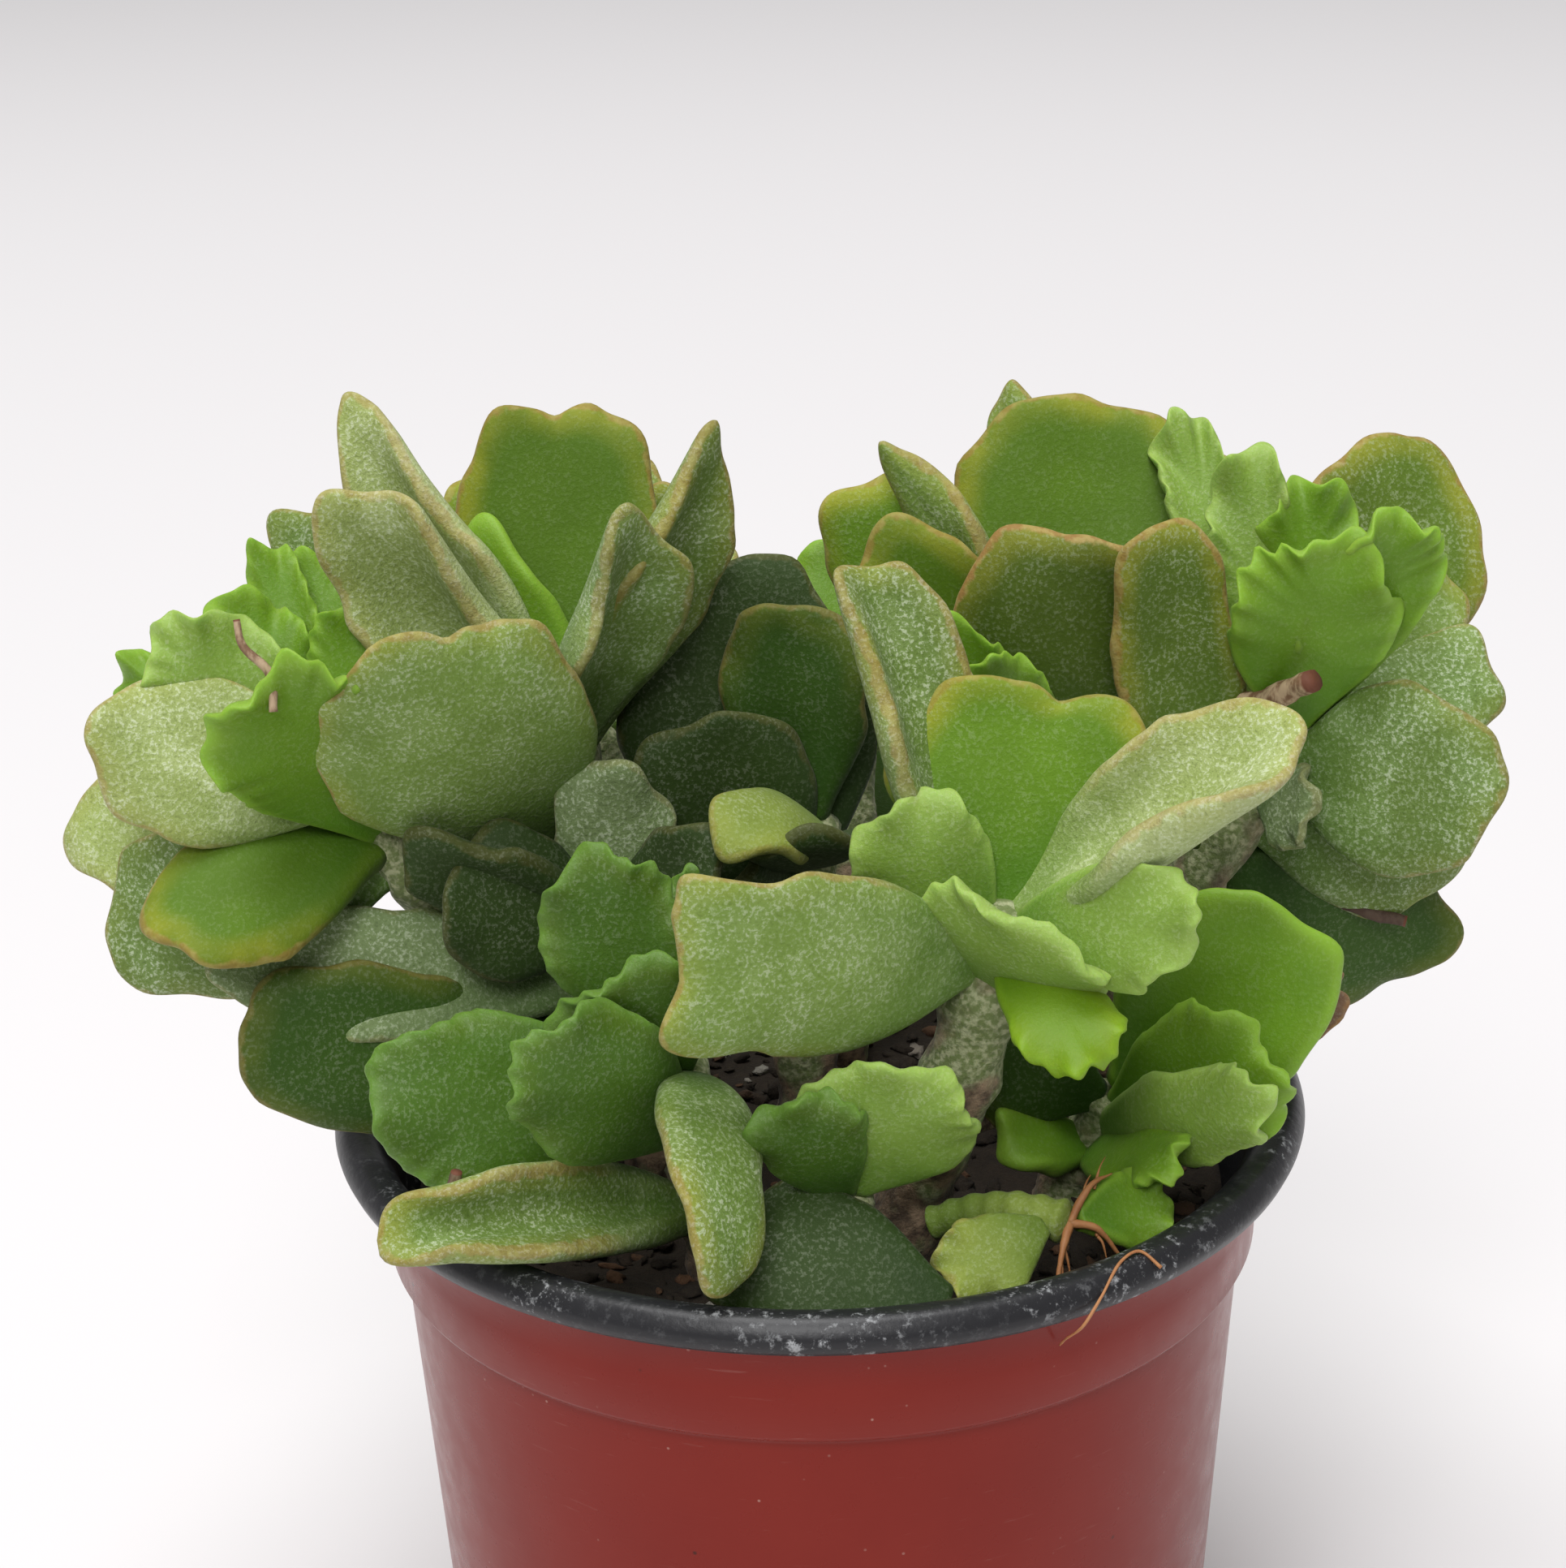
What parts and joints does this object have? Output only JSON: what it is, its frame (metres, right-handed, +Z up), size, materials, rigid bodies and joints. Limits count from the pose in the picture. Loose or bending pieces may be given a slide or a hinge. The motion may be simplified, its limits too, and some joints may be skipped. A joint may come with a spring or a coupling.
{
  "type": "potted crinkle-leaf plant",
  "caption": "Clump of crinkle-leaf succulent stems with wedge-shaped, wavy-edged fleshy leaves, growing in a round two-tone plastic nursery pot.",
  "frame": {"origin": "Centre of the pot's base, on the surface it stands on", "axes": "+Z up along the pot's axis; -Y is the front that the picture shows; +X to the picture's right"},
  "size_m": [0.132, 0.1035, 0.1413],
  "materials": {
    "pot": "thin thermoformed plastic, satin brick red outside, glossier black inside and on the lip",
    "soil": "coarse dark potting mix of peat, bark and a little grit",
    "mature_leaves": "fleshy, matte, finely frosted grey-green with a brown wavy edge",
    "young_leaves": "fleshy, satin, bright green with a crimped edge",
    "shaded_leaves": "fleshy, matte, dark green",
    "cutting": "rough stem with orange-brown roots"
  },
  "bodies": {
    "root": {"pot": "pot", "soil": "soil", "stem_front_right": "mature_leaves", "stem_upper_left": "mature_leaves", "stem_back_right": "mature_leaves", "stem_back_left": "mature_leaves", "stem_back_far_right": "mature_leaves", "rosette_left": "young_leaves", "rosette_front_left": "young_leaves", "rosette_right": "young_leaves", "rosette_low_right": "young_leaves", "rosette_front": "young_leaves", "stem_back_centre": "young_leaves", "stem_inner_left": "shaded_leaves", "stem_centre": "shaded_leaves", "fallen_leaf": "shaded_leaves", "rooted_cutting": "cutting"}
  },
  "joints": []
}
